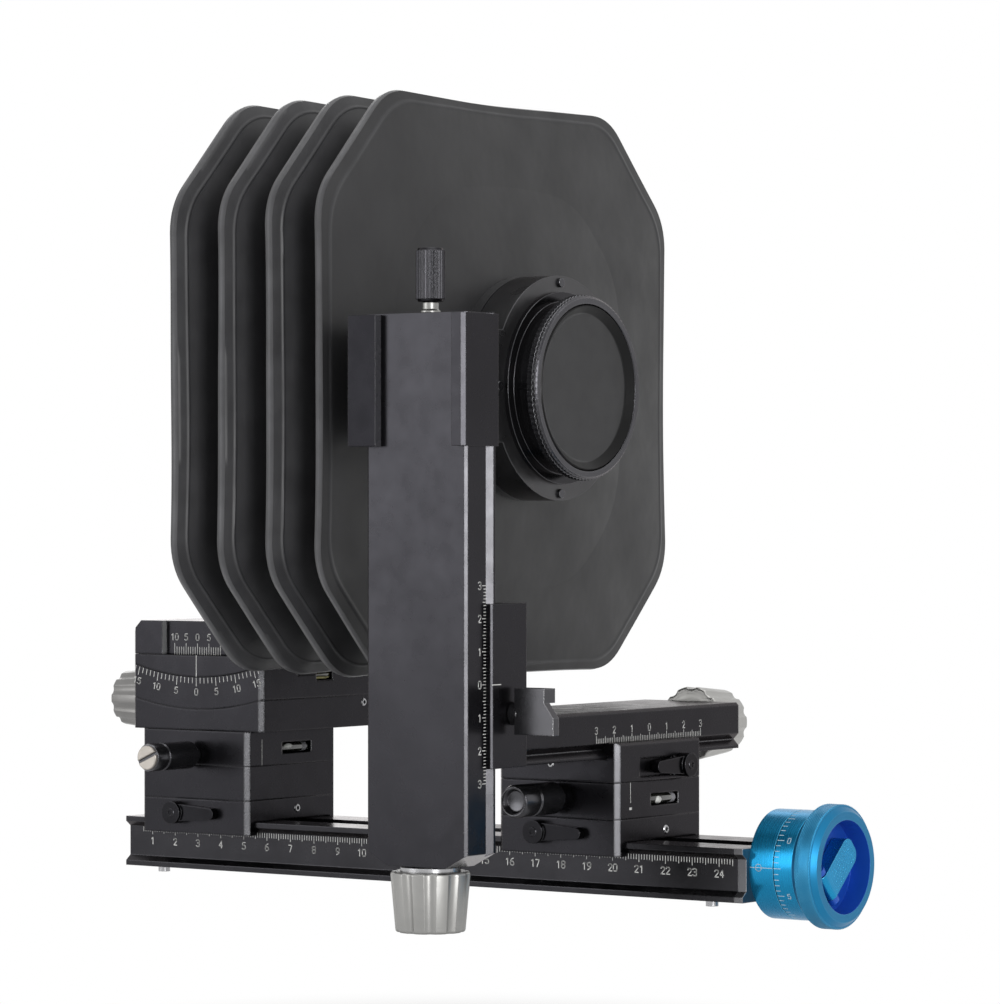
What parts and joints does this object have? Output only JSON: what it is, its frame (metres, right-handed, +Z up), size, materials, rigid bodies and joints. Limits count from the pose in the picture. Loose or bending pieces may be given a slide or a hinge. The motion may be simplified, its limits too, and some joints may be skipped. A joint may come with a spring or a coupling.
{
  "type": "monorail view camera",
  "caption": "Dovetail rail with a geared rear standard for a small camera, a front standard with shift and rise columns, and a pleated octagonal bellows between them",
  "frame": {"origin": "mouth of the tripod thread in the middle of the rail's underside", "axes": "+X along the rail towards the lens and the focusing knob, +Z up, +Y away from the column, so that the optical axis lies over the rail in the plane Y = 0"},
  "size_m": [0.2917, 0.2004, 0.2627],
  "materials": {
    "black": "black anodised",
    "blue": "bright blue anodised",
    "silver": "satin turned",
    "steel": "ground",
    "brass": "turned",
    "level": "clear, with a tinted filling",
    "cloth": "coated black cloth",
    "cap": "matt black"
  },
  "bodies": {
    "base": {"rail": "black", "rail_end_plate": "black", "rail_stop_pins": "steel", "screw_bearing": "black", "focus_drum": "blue"},
    "focus_drive": {"focus_screw": "steel", "focus_dial": "blue", "focus_knob": "blue"},
    "focus_crank": {"focus_crank": "blue"},
    "rear_base": {"rear_carriage": "black", "rear_riser": "black", "rear_swing_base": "black", "rear_level_vial": "level"},
    "rear_rail_lock": {"rear_carriage_lever": "black"},
    "rear_swing_lock": {"rear_swing_knob": "black"},
    "rear_turntable": {"tilt_cradle": "black", "tilt_arc": "black", "tilt_level_vial": "level"},
    "tilt_drive": {"tilt_worm": "steel", "tilt_knob": "silver"},
    "rear_cradle": {"tilt_saddle": "black"},
    "rear_standard": {"cross_slide": "black", "rear_upright": "black", "rear_frame": "black", "camera_ring": "silver", "bellows_rear_frame": "black", "bellows": "cloth"},
    "cross_lock": {"cross_slide_knob": "black"},
    "front_base": {"front_carriage": "black", "focus_nut": "brass", "front_swing_base": "black", "front_level_vial": "level"},
    "front_rail_lock": {"front_carriage_lever": "black"},
    "front_swing_lock": {"front_swing_knob": "black"},
    "front_turntable": {"shift_clamp": "black", "shift_nut": "brass"},
    "shift_lock": {"shift_lock_lever": "black"},
    "cross_bar": {"shift_bar": "black", "shift_bearing": "black", "column_clamp": "black", "rise_nut": "brass"},
    "shift_drive": {"shift_screw": "steel", "shift_knob": "silver"},
    "rise_lock": {"column_clamp_lever": "black"},
    "front_standard": {"column": "black", "rise_bearing": "black", "column_plug": "black", "lens_carriage": "black", "arm_bracket": "black", "lens_arm": "black", "boss_screws": "steel", "lens_neck": "black", "bellows_front_frame": "black"},
    "rise_drive": {"rise_screw": "steel", "rise_collar": "brass", "rise_knob": "silver"},
    "top_lock": {"lens_carriage_knob": "black"},
    "mount_ring": {"lens_lock_ring": "black"},
    "cap": {"dust_cap": "cap"}
  },
  "joints": [
    {"name": "rear_travel", "type": "slide", "parent": "base", "child": "rear_base", "axis": [1, 0, 0], "range_m": [-0.009, 0.019], "deforming": ["bellows"]},
    {"name": "rear_rail_lock_turn", "type": "hinge", "parent": "rear_base", "child": "rear_rail_lock", "pos_m": [-0.0992, -0.0242, 0.01936], "axis": [0, 1, 0], "range_deg": [0, 75]},
    {"name": "rear_swing_lock_turn", "type": "hinge", "parent": "rear_base", "child": "rear_swing_lock", "pos_m": [-0.0922, -0.0242, 0.03908], "axis": [0, -1, 0], "range_deg": [0, 270]},
    {"name": "rear_swing", "type": "hinge", "parent": "rear_base", "child": "rear_turntable", "pos_m": [-0.0922, 0, 0.0356], "axis": [0, 0, 1], "range_deg": [-10, 10], "deforming": ["bellows"]},
    {"name": "rear_tilt", "type": "hinge", "parent": "rear_turntable", "child": "rear_cradle", "pos_m": [-0.0913, 0, 0.1612], "axis": [0, 1, 0], "range_deg": [-15, 15], "deforming": ["bellows"]},
    {"name": "tilt_drive_turn", "type": "hinge", "parent": "rear_turntable", "child": "tilt_drive", "pos_m": [-0.1232, 0, 0.05622], "axis": [-1, 0, 0], "range_deg": [-910, 910]},
    {"name": "rear_cross_travel", "type": "slide", "parent": "rear_cradle", "child": "rear_standard", "axis": [1, 0, 0], "range_m": [-0.008, 0.008], "deforming": ["bellows"]},
    {"name": "cross_lock_turn", "type": "hinge", "parent": "rear_standard", "child": "cross_lock", "pos_m": [-0.0913, 0.0383, 0.07834], "axis": [0, 1, 0], "range_deg": [0, 270]},
    {"name": "focus_travel", "type": "slide", "parent": "base", "child": "front_base", "axis": [1, 0, 0], "range_m": [-0.03, 0.038], "deforming": ["bellows"]},
    {"name": "focus_turn", "type": "hinge", "parent": "base", "child": "focus_drive", "pos_m": [0.125, 0, 0.011], "axis": [-1, 0, 0], "range_deg": [-2710, 3430]},
    {"name": "crank_fold", "type": "hinge", "parent": "focus_drive", "child": "focus_crank", "pos_m": [0.14555, -0.00587, 0.00571], "axis": [0, 0.6691, -0.7431], "range_deg": [0, 90]},
    {"name": "front_rail_lock_turn", "type": "hinge", "parent": "front_base", "child": "front_rail_lock", "pos_m": [0.0505, -0.0242, 0.01936], "axis": [0, 1, 0], "range_deg": [0, 75]},
    {"name": "front_swing_lock_turn", "type": "hinge", "parent": "front_base", "child": "front_swing_lock", "pos_m": [0.0575, -0.0242, 0.03038], "axis": [0, -1, 0], "range_deg": [0, 270]},
    {"name": "front_swing", "type": "hinge", "parent": "front_base", "child": "front_turntable", "pos_m": [0.0575, 0, 0.0356], "axis": [0, 0, 1], "range_deg": [-10, 10], "deforming": ["bellows"]},
    {"name": "shift_lock_turn", "type": "hinge", "parent": "front_turntable", "child": "shift_lock", "pos_m": [0.0807, 0.012, 0.03992], "axis": [-1, 0, 0], "range_deg": [0, 75]},
    {"name": "shift_travel", "type": "slide", "parent": "front_turntable", "child": "cross_bar", "axis": [0, 1, 0], "range_m": [-0.028, 0.028], "deforming": ["bellows"]},
    {"name": "shift_turn", "type": "hinge", "parent": "cross_bar", "child": "shift_drive", "pos_m": [0.0575, 0.053, 0.05074], "axis": [0, 1, 0], "range_deg": [-2530, 2530]},
    {"name": "rise_lock_turn", "type": "hinge", "parent": "cross_bar", "child": "rise_lock", "pos_m": [0.07867, -0.078, 0.05974], "axis": [1, 0, 0], "range_deg": [0, 90]},
    {"name": "rise_travel", "type": "slide", "parent": "cross_bar", "child": "front_standard", "axis": [0, 0, 1], "range_m": [-0.03, 0.03], "deforming": ["bellows"]},
    {"name": "rise_turn", "type": "hinge", "parent": "front_standard", "child": "rise_drive", "pos_m": [0.0575, -0.0919, 0.013], "axis": [0, 0, 1], "range_deg": [-2710, 2710]},
    {"name": "top_lock_turn", "type": "hinge", "parent": "front_standard", "child": "top_lock", "pos_m": [0.0575, -0.0919, 0.1853], "axis": [0, 0, 1], "range_deg": [0, 270]},
    {"name": "mount_ring_turn", "type": "hinge", "parent": "front_standard", "child": "mount_ring", "pos_m": [0.0511, 0, 0.1612], "axis": [1, 0, 0], "range_deg": [0, 60]},
    {"name": "cap_off", "type": "slide", "parent": "front_standard", "child": "cap", "axis": [1, 0, 0], "range_m": [0, 0.02]}
  ],
  "couplings": [
    {"joint": "focus_turn", "follows": "focus_travel", "rad_per_m": 1570.8},
    {"joint": "shift_turn", "follows": "shift_travel", "rad_per_m": 1570.8},
    {"joint": "rise_turn", "follows": "rise_travel", "rad_per_m": 1570.8},
    {"joint": "tilt_drive_turn", "follows": "rear_tilt", "ratio": 60}
  ]
}
